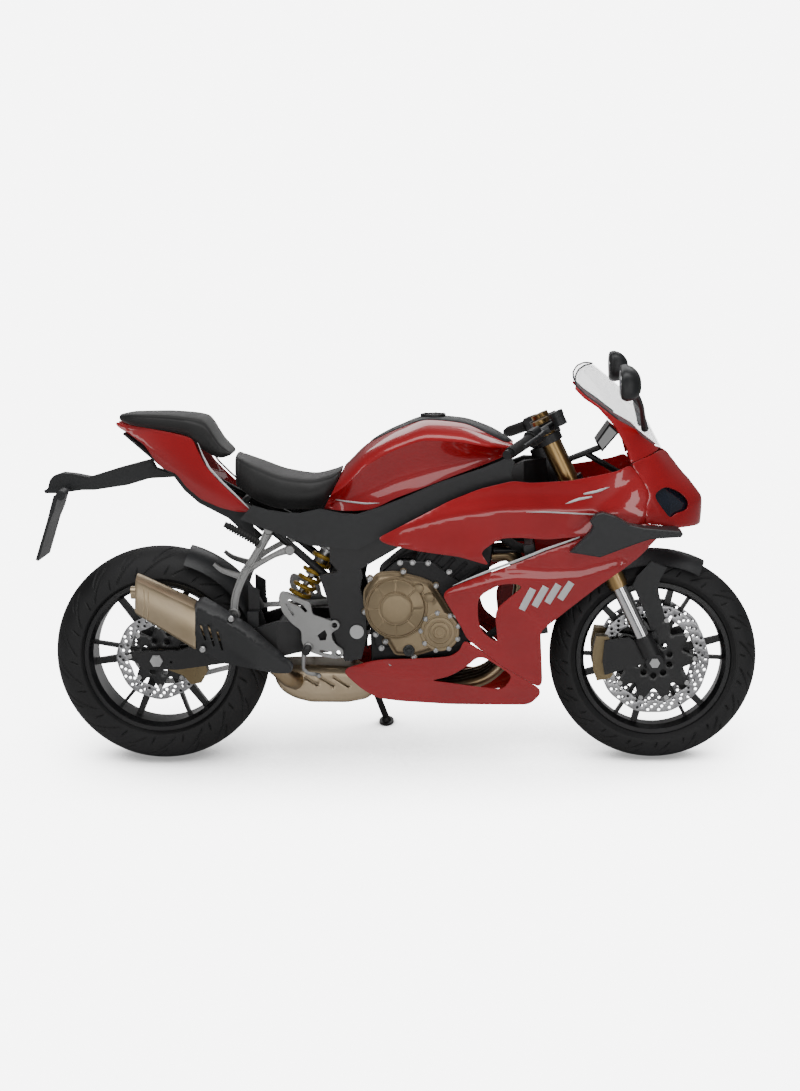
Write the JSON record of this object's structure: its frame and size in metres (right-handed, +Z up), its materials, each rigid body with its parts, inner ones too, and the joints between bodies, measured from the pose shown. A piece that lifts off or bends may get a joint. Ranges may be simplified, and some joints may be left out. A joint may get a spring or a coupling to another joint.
{
  "type": "sport motorcycle",
  "caption": "Full-fairing sport motorcycle leaning on its side stand, with spinning wheels, raked steering, a folding stand and a hinged filler cap.",
  "frame": {"origin": "middle of the object's footprint, on the floor", "axes": "+X forwards, +Y to the rider's left, +Z up; the bike leans 10 degrees to its left onto its side stand"},
  "size_m": [2.0863, 0.8698, 1.224],
  "materials": {
    "red_paint": "glossy deep red",
    "satin_black": "satin dark grey moulding",
    "frame_black": "satin black",
    "wheel_black": "gloss black",
    "tyre": "rubber",
    "grip_rubber": "ribbed",
    "disc_steel": "drilled",
    "steel": "plain",
    "chrome": "hard chrome",
    "gold_alloy": "bronze gold anodised",
    "bronze_cover": "champagne",
    "engine_alloy": "dark cast",
    "cast_alloy": "silver cast",
    "header_steel": "heat tinted",
    "champagne": "champagne satin",
    "seat_vinyl": "grained vinyl",
    "smoke": "pale smoke",
    "lamp_lens": "dark blue-grey",
    "tail_red": "red lens",
    "spring_gold": "gold",
    "caliper_bronze": "bronze",
    "display": "dark"
  },
  "bodies": {
    "root": {"belly_pan": "red_paint", "chain": "steel", "dash": "display", "engine_block": "engine_alloy", "engine_covers": "bronze_cover", "exhaust_box": "champagne", "exhaust_headers": "header_steel", "fuel_tank": "red_paint", "headlamps": "lamp_lens", "heel_plates": "cast_alloy", "lower_fairing": "red_paint", "main_frame": "frame_black", "mirrors": "satin_black", "muffler": "champagne", "muffler_shield": "satin_black", "nose_cowl": "red_paint", "pillion_hangers": "cast_alloy", "pillion_seat": "seat_vinyl", "pivot_bolt": "steel", "plate_holder": "satin_black", "radiator": "frame_black", "rear_axle": "steel", "rear_caliper": "caliper_bronze", "rear_hugger": "satin_black", "rider_seat": "seat_vinyl", "screen_surround": "red_paint", "shock_body": "steel", "shock_spring": "spring_gold", "side_covers": "satin_black", "side_fairing": "red_paint", "subframe": "frame_black", "swingarm": "frame_black", "tail_cowl": "red_paint", "tail_lamp": "tail_red", "tail_under": "satin_black", "tank_top_cover": "satin_black", "windscreen": "smoke", "winglets": "satin_black"},
    "front_wheel_body": {"front_tyre": "tyre", "front_wheel": "wheel_black", "front_discs": "disc_steel"},
    "steering_body": {"fork_outer_tubes": "gold_alloy", "fork_inner_tubes": "chrome", "fork_feet": "frame_black", "front_axle": "steel", "front_calipers": "caliper_bronze", "front_fender": "satin_black", "yokes": "frame_black", "handlebars": "frame_black", "grips": "grip_rubber", "controls": "satin_black"},
    "rear_wheel_body": {"rear_tyre": "tyre", "rear_wheel": "wheel_black", "rear_disc": "disc_steel", "rear_sprocket": "steel"},
    "side_stand_body": {"side_stand": "frame_black"},
    "fuel_cap_body": {"fuel_cap": "frame_black"}
  },
  "joints": [
    {"name": "steering", "type": "hinge", "parent": "root", "child": "steering_body", "pos_m": [0.7143, -0.1451, 0.2834], "axis": [-0.4226, 0.1574, 0.8925], "range_deg": [-27, 27]},
    {"name": "front_wheel_spin", "type": "hinge", "parent": "steering_body", "child": "front_wheel_body", "pos_m": [0.7433, -0.14276, 0.29672], "axis": [0, 0.9848, -0.1736], "continuous": true},
    {"name": "rear_wheel_spin", "type": "hinge", "parent": "root", "child": "rear_wheel_body", "pos_m": [-0.6892, -0.14015, 0.31149], "axis": [0, 0.9848, -0.1736], "continuous": true},
    {"name": "side_stand_fold", "type": "hinge", "parent": "root", "child": "side_stand_body", "pos_m": [-0.1172, 0.02144, 0.2374], "axis": [-0.0354, 0.9787, 0.2024], "range_deg": [0, 96]},
    {"name": "fuel_cap_lid", "type": "hinge", "parent": "root", "child": "fuel_cap_body", "pos_m": [0.1488, -0.02049, 0.99012], "axis": [0, 0.9848, -0.1736], "range_deg": [0, 90]}
  ]
}
